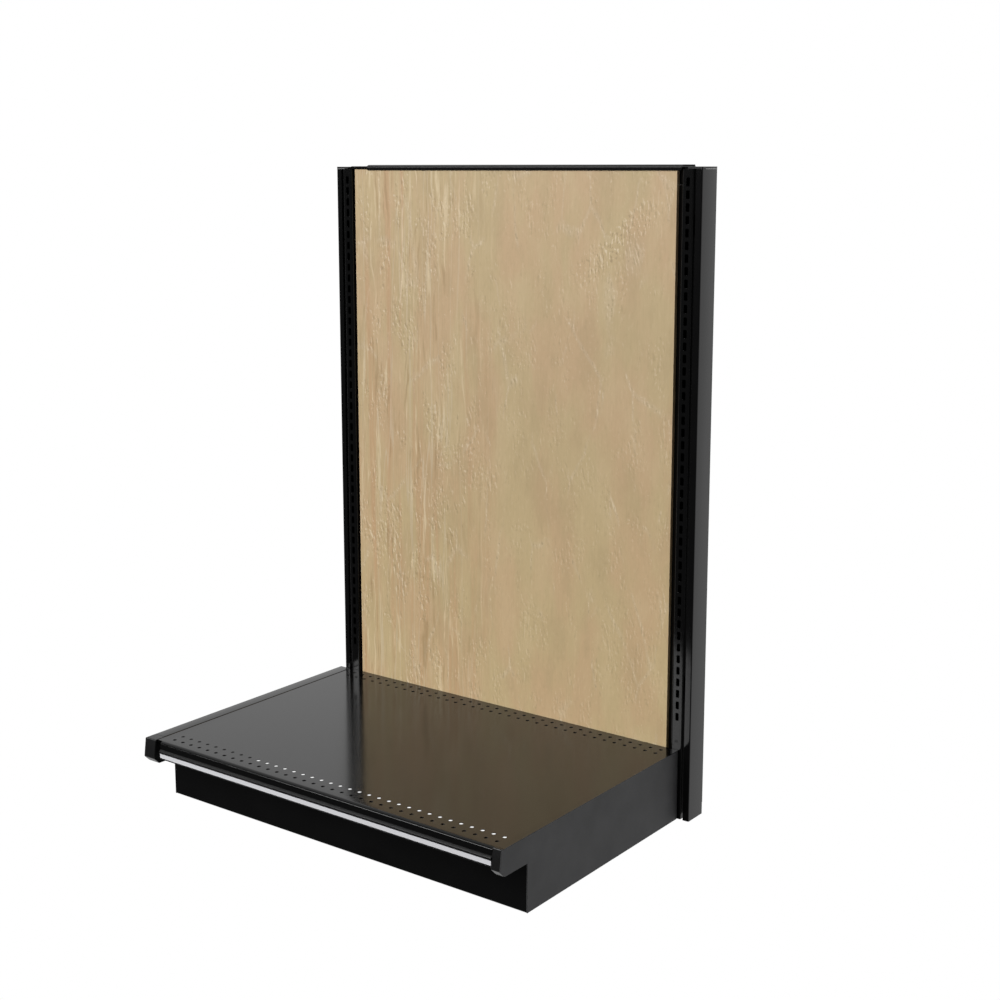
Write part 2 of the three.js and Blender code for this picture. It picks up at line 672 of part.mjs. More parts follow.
// Angle welded under an edge of the deck: a leg down and a leg inwards.
function edgeAngle(side, faceX, [y0, y1]) {
  const { drop, leg, sheet } = DECK_EDGE;
  const outline = [
    [faceX, underDeckZ],
    [faceX, underDeckZ - drop],
    [faceX - side * sheet, underDeckZ - drop],
    [faceX - side * sheet, underDeckZ - sheet],
    [faceX - side * leg, underDeckZ - sheet],
    [faceX - side * leg, underDeckZ],
  ];
  const settings = { depth: y1 - y0, bevelEnabled: false };
  const flat = new THREE.ExtrudeGeometry(shapeOf(outline), settings);
  return flat.rotateX(Math.PI / 2).translate(0, y1, 0);
}

// The rear angle's long leg lies under both rear rows of holes.
function rearAngle(sideways) {
  const { drop, rearLeg, sheet } = DECK_EDGE;
  const rearY = BASE.rearY - END_PLATE.sheet - GAP - DECK_EDGE.rearGap;
  const section = [
    [rearY, underDeckZ],
    [rearY, underDeckZ - drop],
    [rearY - sheet, underDeckZ - drop],
    [rearY - sheet, underDeckZ - sheet],
    [rearY - rearLeg, underDeckZ - sheet],
    [rearY - rearLeg, underDeckZ],
  ];
  return across(section, sideways);
}

// Hat-shaped channel across the underside of the deck, open upwards against the sheet.
function stiffener(y, sideways) {
  const { drop, crown, brim, sheet } = STIFFENER;
  const top = underDeckZ;
  const half = crown / 2;
  const section = [
    [y - half - brim, top],
    [y - half - brim, top - sheet],
    [y - half, top - sheet],
    [y - half, top - drop],
    [y + half, top - drop],
    [y + half, top - sheet],
    [y + half + brim, top - sheet],
    [y + half + brim, top],
    [y + half - sheet, top],
    [y + half - sheet, top - drop + sheet],
    [y - half + sheet, top - drop + sheet],
    [y - half + sheet, top],
  ];
  return across(section, sideways);
}

const edgeFaceX = {
  left: innerFaceX.left + DECK_EDGE.sideGap,
  right: innerFaceX.right - DECK_EDGE.sideGap,
};
const edgeY = [NOSE_BOX.rearY + DECK_EDGE.frontGap, DECK_EDGE.rearY];
const betweenEdges = [
  edgeFaceX.left + DECK_EDGE.leg + GAP,
  edgeFaceX.right - DECK_EDGE.leg - GAP,
];

add('deck_panel', deckPanel(), paint);
add('deck_nose', deckNose(), paint);
add('price_channel', priceChannel(), plastic);
add('label_insert', labelInsert(), labelStock);
for (const [name, side] of Object.entries(SIDES)) {
  add(`deck_edge_angle_${name}`, edgeAngle(side, edgeFaceX[name], edgeY), paint);
}
add('deck_rear_angle', rearAngle(betweenEdges), paint);
STIFFENER.places.forEach((y, i) => add(`deck_stiffener_${i + 1}`, stiffener(y, betweenEdges), paint));

// ---------------------------------------------------------------- whole object
const box = new THREE.Box3().setFromObject(bay);
const middle = box.getCenter(new THREE.Vector3());
bay.position.set(-middle.x, -middle.y, 0);
const gondola = new THREE.Group();
gondola.add(bay);
gondola.updateMatrixWorld(true);

export default gondola;
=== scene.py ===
"""Looks for a gondola shelving unit: one wall bay with a plywood back panel and a perforated deck.

Metres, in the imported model's frame: +X is the shopper's right, -Y the front, +Z up.
Sheet-metal pieces are drawn as one folded line in a section and extruded. Every position comes
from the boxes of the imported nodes.
"""
import math

import bmesh
import bpy
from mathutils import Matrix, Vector


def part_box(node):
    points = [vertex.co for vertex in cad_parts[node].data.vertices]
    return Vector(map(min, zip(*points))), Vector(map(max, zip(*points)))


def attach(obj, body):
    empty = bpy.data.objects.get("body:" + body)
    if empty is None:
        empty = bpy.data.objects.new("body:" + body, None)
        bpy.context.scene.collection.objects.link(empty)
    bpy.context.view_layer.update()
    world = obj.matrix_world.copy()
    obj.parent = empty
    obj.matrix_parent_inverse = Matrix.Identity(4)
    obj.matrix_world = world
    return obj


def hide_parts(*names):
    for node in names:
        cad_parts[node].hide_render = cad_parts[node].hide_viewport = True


MM = 0.001
SIDES = {"left": -1, "right": 1}

# ------------------------------------------------------------------ dimensions of the sheet metal
SHEET = 1.5 * MM            # trims, rails, angles and stiffeners
BEND = 2.0 * MM             # radius of a fold, at mid sheet
EDGE = 0.3 * MM             # rounding of a cut edge
TUBE_WALL = 2.0 * MM
SLOT = {"count": 45, "pitch": 25.4 * MM, "lowest": 228.6 * MM, "width": 8 * MM, "height": 17 * MM}
DECK_SHEET = 1.2 * MM
DECK_ROLL = 9 * MM          # radius of the deck's front edge, at mid sheet
NOSE = {"top": 5.5 * MM, "front": 13.6 * MM, "chin": 13.9 * MM}   # from the nose cap's low corner
RAIL_ROLL = 9.75 * MM       # radius of the top rail's front edge, at mid sheet
HOLE = {"across": 8.3 * MM, "pitch": 25.66 * MM, "per_row": 35}
HOLE_ROWS = [599.3 * MM, 575.7 * MM, 43 * MM, 20.2 * MM]   # from the deck sheet's rear edge
BOLT_HEIGHTS = [52 * MM, 122 * MM]
THREAD_PITCH = 1.75 * MM


# ------------------------------------------------------------------ section lines
def offset_line(line, distance):
    """The open line moved sideways, to the left of its direction."""
    moved = []
    for i, point in enumerate(line):
        steps = []
        if i > 0:
            steps.append((point - line[i - 1]).normalized())
        if i < len(line) - 1:
            steps.append((line[i + 1] - point).normalized())
        normals = [Vector((-s.y, s.x)) for s in steps]
        middle = sum(normals, Vector((0, 0))).normalized()
        moved.append(point + middle * (distance / middle.dot(normals[0])))
    return moved


def filleted(points, radii, closed=False, steps=6):
    """The line with its corners rounded, by one radius or by one for each corner."""
    points = [Vector(p) for p in points]
    line = []
    for i, corner in enumerate(points):
        radius = radii[i] if isinstance(radii, (list, tuple)) else radii
        before = points[i - 1] - corner
        after = points[(i + 1) % len(points)] - corner
        is_end = not closed and i in (0, len(points) - 1)
        if is_end or radius <= 0 or abs(before.angle(after) - math.pi) < 1e-3:
            line.append(corner)
            continue
        before.normalize()
        after.normalize()
        half = before.angle(after) / 2
        centre = corner + (before + after).normalized() * (radius / math.sin(half))
        first = corner + before * (radius / math.tan(half)) - centre
        last = corner + after * (radius / math.tan(half)) - centre
        turn = first.angle_signed(last)
        for k in range(steps + 1):
            angle = -turn * k / steps
            cosine, sine = math.cos(angle), math.sin(angle)
            turned_x = first.x * cosine - first.y * sine
            turned_y = first.x * sine + first.y * cosine
            line.append(centre + Vector((turned_x, turned_y)))
    return line


def fold(face_path, sheet=SHEET, bend=BEND):
    """Both faces of a folded sheet. The path runs along one face, with the sheet on its left."""
    middle = filleted(offset_line([Vector(p) for p in face_path], sheet / 2), bend)
    return offset_line(middle, -sheet / 2), offset_line(middle, sheet / 2)


def rolled_edge(y, top, radius):
    """Corners of a front edge that rolls over through 52 degrees and ends in a tight bend."""
    return [(y + 0.38 * radius, top), (y, top - 0.49 * radius)]


def along_x(a, b, c):
    return Vector((c, a, b))


def along_y(a, b, c):
    return Vector((a, c, b))


def along_z(a, b, c):
    return Vector((a, b, c))


# ------------------------------------------------------------------ meshes
def loft(rings, closed=False, caps=True):
    """Quads between rings of equal length. A closed loft joins the last ring to the first."""
    bm = bmesh.new()
    loops = [[bm.verts.new(p) for p in ring] for ring in rings]
    pairs = list(zip(loops, loops[1:])) + ([(loops[-1], loops[0])] if closed else [])
    for low, high in pairs:
        for i in range(len(low)):
            k = (i + 1) % len(low)
            bm.faces.new((low[i], low[k], high[k], high[i]))
    if caps and not closed:
        bm.faces.new(loops[0])
        bm.faces.new(loops[-1])
    bmesh.ops.recalc_face_normals(bm, faces=bm.faces)
    return bm


def prism(outline, place, span):
    return loft([[place(p[0], p[1], c) for p in outline] for c in span])


def sheet_prism(faces, place, span):
    """A folded sheet: its two faces, its cut edges, and end caps made of quads."""
    left, right = faces
    bm = bmesh.new()
    ends = [[[bm.verts.new(place(p.x, p.y, c)) for p in side] for side in (left, right)] for c in span]
    for near, far in zip(*ends):
        for i in range(len(near) - 1):
            bm.faces.new((near[i], near[i + 1], far[i + 1], far[i]))
    for side_a, side_b in ends:
        for i in range(len(side_a) - 1):
            bm.faces.new((side_a[i], side_a[i + 1], side_b[i + 1], side_b[i]))
    for i in (0, -1):
        bm.faces.new((ends[0][0][i], ends[0][1][i], ends[1][1][i], ends[1][0][i]))
    bmesh.ops.recalc_face_normals(bm, faces=bm.faces)
    return bm


def rectangle(a0, a1, b0, b1):
    return [(a0, b0), (a1, b0), (a1, b1), (a0, b1)]


def circle(radius, centre=(0, 0), sides=24):
    turns = [2 * math.pi * i / sides for i in range(sides)]
    return [(centre[0] + radius * math.cos(t), centre[1] + radius * math.sin(t)) for t in turns]


def block(lo, hi):
    return prism(rectangle(lo[0], hi[0], lo[1], hi[1]), along_z, (lo[2], hi[2]))


def merged(meshes):
    """Separate shells as one mesh."""
    whole = bmesh.new()
    for bm in meshes:
        scratch = bpy.data.meshes.new("scratch")
        bm.to_mesh(scratch)
        bm.free()
        whole.from_mesh(scratch)
        bpy.data.meshes.remove(scratch)
    return whole


def scratch_object(bm):
    mesh = bpy.data.meshes.new("scratch")
    bm.to_mesh(mesh)
    bm.free()
    thing = bpy.data.objects.new("scratch", mesh)
    bpy.context.collection.objects.link(thing)
    return thing


def combined(body, tool, operation):
    """Exact boolean of two meshes. Both are used up."""
    base, other = scratch_object(body), scratch_object(tool)
    step = base.modifiers.new("step", "BOOLEAN")
    step.operation = operation
    step.solver = "EXACT"
    step.object = other
    graph = bpy.context.evaluated_depsgraph_get()
    result = bmesh.new()
    result.from_mesh(base.evaluated_get(graph).to_mesh())
    for thing in (base, other):
        mesh = thing.data
        bpy.data.objects.remove(thing)
        bpy.data.meshes.remove(mesh)
    return result


def piece(name, bm, look, body, *nodes, edge=EDGE, sharp=35, slot="black_powder_coat"):
    """Turns a mesh into a piece that rides on a body and stands for CAD nodes."""
    mesh = bpy.data.meshes.new(name)
    bmesh.ops.remove_doubles(bm, verts=bm.verts, dist=1e-6)
    bm.to_mesh(mesh)
    bm.free()
    mesh.shade_smooth()
    mesh.set_sharp_from_angle(angle=math.radians(sharp))
    mesh.materials.append(look)
    thing = bpy.data.objects.new(name, mesh)
    bpy.context.collection.objects.link(thing)
    if edge:
        rounding = thing.modifiers.new("rounded edges", "BEVEL")
        rounding.width = edge
        rounding.segments = 2
        rounding.limit_method = "ANGLE"
        rounding.angle_limit = math.radians(50)
        rounding.harden_normals = True
    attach(thing, body)
    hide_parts(*nodes)
    return thing


# ------------------------------------------------------------------ materials
def new_material(name):
    made = bpy.data.materials.new(name)
    made.use_nodes = True
    tree = made.node_tree
    shader = tree.nodes["Principled BSDF"]
    return made, tree, shader


def add_node(tree, kind, sockets=None, **settings):
    """A node with its settings and inputs. An input is a value or another node's output."""
    made = tree.nodes.new(kind)
    for key, value in settings.items():
        setattr(made, key, value)
    for key, value in (sockets or {}).items():
        if isinstance(value, bpy.types.NodeSocket):
            tree.links.new(value, made.inputs[key])
        else:
            made.inputs[key].default_value = value
    return made


def noise(tree, coordinates, scale, detail=2.0, rough=0.5):
    made = add_node(tree, "ShaderNodeTexNoise", {"Vector": coordinates, "Scale": scale, "Detail": detail,
                                                 "Roughness": rough})
    return made.outputs["Fac"]


def stretched(tree, coordinates, scale):
    made = add_node(tree, "ShaderNodeMapping", {"Vector": coordinates, "Scale": scale})
    return made.outputs["Vector"]


def between(tree, factor, low, high):
    made = add_node(tree, "ShaderNodeMapRange", {"Value": factor, "From Min": 0.3, "From Max": 0.7,
                                                 "To Min": low, "To Max": high})
    return made.outputs["Result"]


def mixed(tree, factor, first, second, blend="MIX"):
    made = add_node(tree, "ShaderNodeMix", data_type="RGBA", blend_type=blend)
    for index, value in ((0, factor), (6, first), (7, second)):
        if isinstance(value, bpy.types.NodeSocket):
            tree.links.new(value, made.inputs[index])
        else:
            made.inputs[index].default_value = value
    return made.outputs[2]


def bumped(tree, shader, height, depth, strength=1.0):
    made = add_node(tree, "ShaderNodeBump", {"Height": height, "Distance": depth, "Strength": strength})
    tree.links.new(made.outputs["Normal"], shader.inputs["Normal"])
    return made


def object_coordinates(tree):
    return add_node(tree, "ShaderNodeTexCoord").outputs["Object"]


def powder_coat(name, smoothest, roughest, shade):
    """Black powder coat with a fine orange peel."""
    made, tree, shader = new_material(name)
    where = object_coordinates(tree)
    cloud = noise(tree, where, 14, 3)
    peel = noise(tree, where, 420, 2)
    speck = noise(tree, where, 1600, 1)
    deep, thin = (0.8 * shade, 0.8 * shade, 0.84 * shade, 1), (1.2 * shade, 1.2 * shade, 1.25 * shade, 1)
    tree.links.new(mixed(tree, between(tree, cloud, 0, 1), deep, thin), shader.inputs["Base Color"])
    tree.links.new(between(tree, speck, smoothest, roughest), shader.inputs["Roughness"])
    shader.inputs["IOR"].default_value = 1.5
    bumped(tree, shader, peel, 0.004 * MM)
    return made


def black_plastic():
    """Moulded black plastic with a fine grain."""
    made, tree, shader = new_material("black plastic")
    where = object_coordinates(tree)
    cloud = noise(tree, where, 30, 2)
    grain = noise(tree, where, 2200, 2)
    deep, pale = (0.0070, 0.0070, 0.0072, 1), (0.0090, 0.0090, 0.0094, 1)
    tree.links.new(mixed(tree, between(tree, cloud, 0, 1), deep, pale), shader.inputs["Base Color"])
    tree.links.new(between(tree, grain, 0.24, 0.34), shader.inputs["Roughness"])
    shader.inputs["IOR"].default_value = 1.49
    bumped(tree, shader, grain, 0.010 * MM)
    return made


def label_white():
    """Satin white strip."""
    made, tree, shader = new_material("label")
    where = object_coordinates(tree)
    fibre = noise(tree, stretched(tree, where, (40, 40, 400)), 3, 3)
    tree.links.new(mixed(tree, between(tree, fibre, 0, 1), (0.76, 0.76, 0.79, 1), (0.81, 0.81, 0.84, 1)),
                   shader.inputs["Base Color"])
    tree.links.new(between(tree, fibre, 0.38, 0.46), shader.inputs["Roughness"])
    bumped(tree, shader, fibre, 0.01 * MM)
    return made


def zinc_plate():
    """Bright zinc plating with faint mottling."""
    made, tree, shader = new_material("zinc")
    where = object_coordinates(tree)
    mottle = noise(tree, where, 160, 4, 0.6)
    fine = noise(tree, where, 1800, 2)
    tree.links.new(mixed(tree, between(tree, mottle, 0, 1), (0.42, 0.43, 0.45, 1), (0.60, 0.61, 0.62, 1)),
                   shader.inputs["Base Color"])
    tree.links.new(between(tree, mottle, 0.26, 0.40), shader.inputs["Roughness"])
    shader.inputs["Metallic"].default_value = 0.9
    bumped(tree, shader, fine, 0.006 * MM)
    return made


def arithmetic(tree, operation, first, second=0.0, third=0.0, clamp=False):
    made = add_node(tree, "ShaderNodeMath", {0: first, 1: second, 2: third},
                    operation=operation, use_clamp=clamp)
    return made.outputs[0]


def ramp(tree, value, start, end, low=0.0, high=1.0):
    """A smooth step from low to high as the value goes from start to end."""
    made = add_node(tree, "ShaderNodeMapRange", {"Value": value, "From Min": start, "From Max": end,
                                                 "To Min": low, "To Max": high},
                    interpolation_type="SMOOTHSTEP")
    return made.outputs["Result"]


def swayed(tree, coordinates, scale, reach):
    """Coordinates pushed about by slow noise, by up to half of reach along each axis."""
    slow = add_node(tree, "ShaderNodeTexNoise", {"Vector": stretched(tree, coordinates, scale), "Scale": 1.0,
                                                 "Detail": 2.0})
    centred = add_node(tree, "ShaderNodeVectorMath", {0: slow.outputs["Color"], 1: (0.5, 0.5, 0.5)},
                       operation="SUBTRACT")
    push = add_node(tree, "ShaderNodeVectorMath", {0: centred.outputs[0], 1: reach, 2: coordinates},
                    operation="MULTIPLY_ADD")
    return push.outputs[0]


def band_mask(tree, parts, start, end, half_width):
    """1 near the segment between two (x, z) points on the panel, falling to 0 at half_width."""
    start, end = Vector(start), Vector(end)
    along, length = (end - start).normalized(), (end - start).length
    across = Vector((-along.y, along.x))
    masks = []
    for axis, middle, reach in ((along, length / 2, length / 2), (across, 0, half_width)):
        x = arithmetic(tree, "MULTIPLY", parts.outputs["X"], axis.x)
        both = arithmetic(tree, "MULTIPLY_ADD", parts.outputs["Z"], axis.y, x)
        away = arithmetic(tree, "SUBTRACT", both, start.dot(axis) + middle)
        masks.append(ramp(tree, arithmetic(tree, "ABSOLUTE", away), reach * 0.5, reach * 1.1, 1.0, 0.0))
    return arithmetic(tree, "MULTIPLY", *masks)


def plywood_face():
    """Rotary-cut plywood: upright streaks on the left, soft patches on the right, small raised flecks with a
    painted highlight on one side and a painted shadow on the other, and painted light towards the floor.
    """
    lo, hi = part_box("back_panel")
    width, height = hi.x - lo.x, hi.z - lo.z
    made, tree, shader = new_material("plywood")
    where = object_coordinates(tree)
    parts = add_node(tree, "ShaderNodeSeparateXYZ", {"Vector": where})
    leftness = ramp(tree, parts.outputs["X"], lo.x + 0.56 * width, lo.x + 0.22 * width)
    wavy = swayed(tree, where, (4, 4, 2), (0.035, 0, 0.10))
    curly = swayed(tree, wavy, (14, 14, 7), (0.030, 0, 0.05))

    patches = noise(tree, stretched(tree, curly, (10, 10, 3.4)), 1, 3, 0.55)
    base = mixed(tree, ramp(tree, patches, 0.38, 0.62), (0.578, 0.446, 0.252, 1), (0.596, 0.424, 0.250, 1))
    clouds = noise(tree, stretched(tree, wavy, (16, 16, 6)), 1, 3, 0.6)
    base = mixed(tree, ramp(tree, clouds, 0.52, 0.36, 0, 0.26), base, (0.44, 0.325, 0.180, 1))
    base = mixed(tree, ramp(tree, clouds, 0.52, 0.68, 0, 0.22), base, (0.70, 0.555, 0.345, 1))
    streaks = noise(tree, stretched(tree, wavy, (44, 44, 1.2)), 1, 3, 0.6)
    amount = arithmetic(tree, "MULTIPLY", ramp(tree, streaks, 0.50, 0.66, 0, 0.85), leftness)
    base = mixed(tree, amount, base, (0.575, 0.370, 0.208, 1))

    lines = noise(tree, stretched(tree, wavy, (30, 30, 0.9)), 1, 2, 0.5)
    ridge = arithmetic(tree, "ABSOLUTE", arithmetic(tree, "SUBTRACT", lines, 0.5))
    amount = arithmetic(tree, "MULTIPLY", ramp(tree, ridge, 0.0, 0.018, 0.5, 0), leftness)
    base = mixed(tree, amount, base, (0.660, 0.560, 0.400, 1))

    patchwork = {"Vector": stretched(tree, curly, (12, 12, 4.2)), "Scale": 1.0}
    voronoi = add_node(tree, "ShaderNodeTexVoronoi", patchwork, feature="DISTANCE_TO_EDGE")
    cells = voronoi.outputs["Distance"]
    broken = ramp(tree, noise(tree, stretched(tree, where, (20, 20, 9)), 1, 2), 0.46, 0.58)
    rim = arithmetic(tree, "MULTIPLY", ramp(tree, cells, 0.0, 0.05, 1, 0), broken)
    base = mixed(tree, arithmetic(tree, "MULTIPLY", rim, 0.30), base, (0.66, 0.54, 0.38, 1))

    # Painted highlight and painted shadow: the noise minus the same noise moved a little along X and Z gives
    # each raised fleck a lit side and a shaded side; the same relief also drives the bump.
    fine = noise(tree, stretched(tree, curly, (150, 150, 58)), 1, 3, 0.6)
    aside = add_node(tree, "ShaderNodeVectorMath", {0: curly, 1: (0.0024, 0, 0.0034)},
                     operation="ADD").outputs[0]
    shifted = noise(tree, stretched(tree, aside, (150, 150, 58)), 1, 3, 0.6)
    relief_and_painted_shading = arithmetic(tree, "SUBTRACT", fine, shifted)
    scatter = ramp(tree, noise(tree, stretched(tree, wavy, (26, 26, 11)), 1, 3, 0.6), 0.50, 0.60)
    scatter = arithmetic(tree, "MULTIPLY", scatter, arithmetic(tree, "MULTIPLY_ADD", leftness, 0.55, 0.45))
    diagonal = band_mask(tree, parts, (lo.x + 0.70 * width, lo.z + 0.80 * height),
                         (lo.x + 0.97 * width, lo.z + 0.96 * height), 0.035)
    shown = arithmetic(tree, "MAXIMUM", arithmetic(tree, "MAXIMUM", scatter, diagonal),
                       arithmetic(tree, "MULTIPLY", rim, 0.8))
    # Painted highlight on one side of each fleck, painted shadow on the other.
    light = arithmetic(tree, "MULTIPLY", ramp(tree, relief_and_painted_shading, 0.07, 0.16), shown)
    dark = arithmetic(tree, "MULTIPLY", ramp(tree, relief_and_painted_shading, -0.07, -0.16), shown)
    base = mixed(tree, arithmetic(tree, "MULTIPLY", light, 0.75), base, (0.80, 0.68, 0.50, 1))
    base = mixed(tree, arithmetic(tree, "MULTIPLY", dark, 0.65), base, (0.36, 0.25, 0.14, 1))

    mottle = noise(tree, stretched(tree, curly, (170, 170, 62)), 1, 3, 0.62)
    base = mixed(tree, ramp(tree, mottle, 0.46, 0.28, 0, 0.16), base, (0.36, 0.25, 0.135, 1))
    base = mixed(tree, ramp(tree, mottle, 0.54, 0.72, 0, 0.14), base, (0.80, 0.66, 0.45, 1))
    threads = noise(tree, stretched(tree, curly, (105, 105, 5)), 1, 3, 0.6)
    gaps = ramp(tree, noise(tree, stretched(tree, wavy, (34, 34, 7)), 1, 3, 0.6), 0.46, 0.58)
    drawn = arithmetic(tree, "MULTIPLY", leftness, gaps)
    amount = arithmetic(tree, "MULTIPLY", ramp(tree, threads, 0.45, 0.36, 0, 0.60), drawn)
    base = mixed(tree, amount, base, (0.40, 0.26, 0.13, 1))
    amount = arithmetic(tree, "MULTIPLY", ramp(tree, threads, 0.55, 0.64, 0, 0.55), drawn)
    base = mixed(tree, amount, base, (0.82, 0.68, 0.46, 1))

    grain = noise(tree, stretched(tree, wavy, (420, 420, 11)), 1, 3, 0.6)
    depth = arithmetic(tree, "MULTIPLY_ADD", leftness, 0.16, 0.10)
    amount = arithmetic(tree, "MULTIPLY", ramp(tree, grain, 0.45, 0.72), depth)
    base = mixed(tree, amount, base, (0.38, 0.27, 0.15, 1))

    inward = arithmetic(tree, "SUBTRACT", parts.outputs["Y"], lo.y)
    ply = arithmetic(tree, "DIVIDE", inward, (hi.y - lo.y) / 5)
    cross = arithmetic(tree, "MODULO", arithmetic(tree, "FLOOR", arithmetic(tree, "ADD", ply, 0.001)), 2.0)
    base = mixed(tree, arithmetic(tree, "MULTIPLY", cross, 0.6), base, (0.30, 0.20, 0.11, 1))

    # Painted light: the wood's colour is multiplied by up to 1.19 towards the floor against 1.02 at the top,
    # standing in for the softbox's light, which falls off lower down.
    pale = ramp(tree, parts.outputs["Z"], lo.z + 0.75 * height, lo.z)
    painted_light_towards_floor = mixed(tree, pale, (1.02, 1.01, 0.98, 1), (1.19, 1.18, 1.11, 1))
    base = mixed(tree, 1.0, base, painted_light_towards_floor, blend="MULTIPLY")
    tree.links.new(base, shader.inputs["Base Color"])
    tree.links.new(ramp(tree, grain, 0.3, 0.7, 0.46, 0.60), shader.inputs["Roughness"])
    height_map = arithmetic(tree, "MULTIPLY_ADD", arithmetic(tree, "MULTIPLY", relief_and_painted_shading, shown), 0.5, grain)
    bumped(tree, shader, height_map, 0.03 * MM)
    return made


# ------------------------------------------------------------------ uprights and what is on them
def slotted_tube(name):
    lo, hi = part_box(f"upright_{name}")
    centre = (lo + hi) / 2
    outer = filleted(rectangle(lo.x, hi.x, lo.y, hi.y), 3 * MM, closed=True, steps=5)
    wall = TUBE_WALL
    inside = rectangle(lo.x + wall, hi.x - wall, lo.y + wall, hi.y - wall)
    inner = filleted(inside, 1.2 * MM, closed=True, steps=5)
    rings = [[along_z(p[0], p[1], z) for p in line] for line, z in
             ((outer, lo.z), (outer, hi.z), (inner, hi.z), (inner, lo.z))]
    shell = loft(rings, closed=True)
    through = (lo.y - wall, lo.y + 2 * wall)
    cutters = []
    for i in range(SLOT["count"]):
        z = SLOT["lowest"] + i * SLOT["pitch"]
        opening = rectangle(centre.x - SLOT["width"] / 2, centre.x + SLOT["width"] / 2,
                            z - SLOT["height"] / 2, z + SLOT["height"] / 2)
        cutters.append(prism(filleted(opening, 2 * MM, closed=True, steps=4), along_y, through))
    bolt_lo, bolt_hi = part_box(f"bracket_bolt_{name}_1")
    for z in BOLT_HEIGHTS:
        spot = ((bolt_lo.x + bolt_hi.x) / 2, z)
        cutters.append(prism(circle(4.3 * MM, spot), along_y, through))
    return combined(shell, merged(cutters), "DIFFERENCE")


def end_trim(name, side):
    lo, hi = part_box(f"end_trim_{name}")
    out_x, lip_x = (hi.x, lo.x) if side > 0 else (lo.x, hi.x)
    path = [(lip_x, lo.y), (out_x, lo.y), (out_x, hi.y), (lip_x, hi.y)]
    if side < 0:
        path.reverse()
    cover = sheet_prism(fold(path), along_z, (lo.z, hi.z))
    heel = block((lo.x - MM, hi.y - 3 * MM, lo.z - MM), (hi.x + MM, hi.y + MM, 27 * MM))
    return combined(cover, heel, "DIFFERENCE")


def trim_clip(node, side):
    lo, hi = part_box(node)
    near, far = (lo.x, hi.x) if side > 0 else (hi.x, lo.x)
    path = [(far, hi.y), (near, hi.y), (near, lo.y), (far, lo.y)]
    if side < 0:
        path.reverse()
    return sheet_prism(fold(path), along_z, (lo.z, hi.z))


def top_cap(name, side):
    lo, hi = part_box(f"top_cap_{name}")
    tube_lo, tube_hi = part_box(f"upright_{name}")
    centre_x = (tube_lo.x + tube_hi.x) / 2
    lid_inner = centre_x - side * 2 * MM
    lid_outer = hi.x if side > 0 else lo.x
    lid_x = sorted((lid_inner, lid_outer))
    lid = prism(filleted(rectangle(lid_x[0], lid_x[1], lo.y, hi.y), 2.2 * MM, closed=True, steps=4),
                along_z, (tube_hi.z + 0.3 * MM, hi.z))
    inset = TUBE_WALL + 0.3 * MM
    inside = rectangle(tube_lo.x + inset, tube_hi.x - inset, tube_lo.y + inset, tube_hi.y - inset)
    plug = prism(filleted(inside, 1 * MM, closed=True, steps=3), along_z, (lo.z, tube_hi.z - MM))
    half_plug = (tube_hi.x - tube_lo.x - 2 * inset) / 2
    neck_x = sorted((lid_inner + side * 0.1 * MM, centre_x + side * half_plug))
    neck = block((neck_x[0], tube_lo.y + inset, tube_hi.z - 2 * MM),
                 (neck_x[1], tube_hi.y - inset, tube_hi.z + MM))
    return combined(combined(lid, neck, "UNION"), plug, "UNION")


def foot_plug(name):
    lo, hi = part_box(f"foot_plug_{name}")
    centre = (lo + hi) / 2
    outline = filleted(rectangle(lo.x, hi.x, lo.y, hi.y), 1.5 * MM, closed=True, steps=4)
    body = prism(outline, along_z, (lo.z, hi.z))
    drill = threaded_rod(5.5 * MM, centre.x, centre.y, lo.z - 2 * MM, hi.z + 2 * MM)
    return combined(body, drill, "DIFFERENCE")


def panel_channel(name, side):
    lo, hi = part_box(f"panel_channel_{name}")
    root, reach = (hi.x, lo.x) if side > 0 else (lo.x, hi.x)
    path = [(root, lo.y), (root, hi.y), (reach, hi.y)]
    if side < 0:
        path.reverse()
    return sheet_prism(fold(path), along_z, (lo.z, hi.z))


# ------------------------------------------------------------------ turned and threaded pieces
def threaded_rod(radius, x, y, z0, z1, sides=24, depth=0.55 * MM):
    """A rod with a helical ridge, along Z."""
    rows = max(2, round((z1 - z0) / (THREAD_PITCH / 4)))
    rings = []
    for row in range(rows + 1):
        z = z0 + (z1 - z0) * row / rows
        ring = []
        for i in range(sides):
            phase = ((z - z0) / THREAD_PITCH - i / sides) % 1
            ridge = 1 - abs(2 * phase - 1)
            reach = radius - depth * (1 - ridge)
            turn = 2 * math.pi * i / sides
            ring.append(Vector((x + reach * math.cos(turn), y + reach * math.sin(turn), z)))
        rings.append(ring)
    return loft(rings)


def turned(profile, x, y, sides=48):
    """A solid of revolution about a vertical axis, from (radius, z) pairs."""
    return loft([[Vector((a, b, z)) for a, b in circle(r, (x, y), sides)] for r, z in profile])


def hexagon_radius(across, turn):
    sector = (turn + math.pi / 6) % (math.pi / 3) - math.pi / 6
    return across / 2 / math.cos(sector)


def hexagon_rows(across, height, both_ends=True, sides=48):
    """Rings of a hexagonal head whose corners are cut by a cone at the ends."""
    corner = across / math.sqrt(3)
    chamfer = (corner - across / 2 * 0.97) * math.tan(math.radians(30))
    levels = [chamfer * i / 4 for i in range(5)]
    rows = [(z, across / 2 * 0.97 + z / math.tan(math.radians(30))) for z in levels]
    upper = [(height - z, limit) for z, limit in reversed(rows)] if both_ends else [(height, corner)]
    rings = []
    for z, limit in rows + upper:
        turns = [2 * math.pi * i / sides for i in range(sides)]
        rings.append([(min(hexagon_radius(across, t), limit), t, z) for t in turns])
    return rings


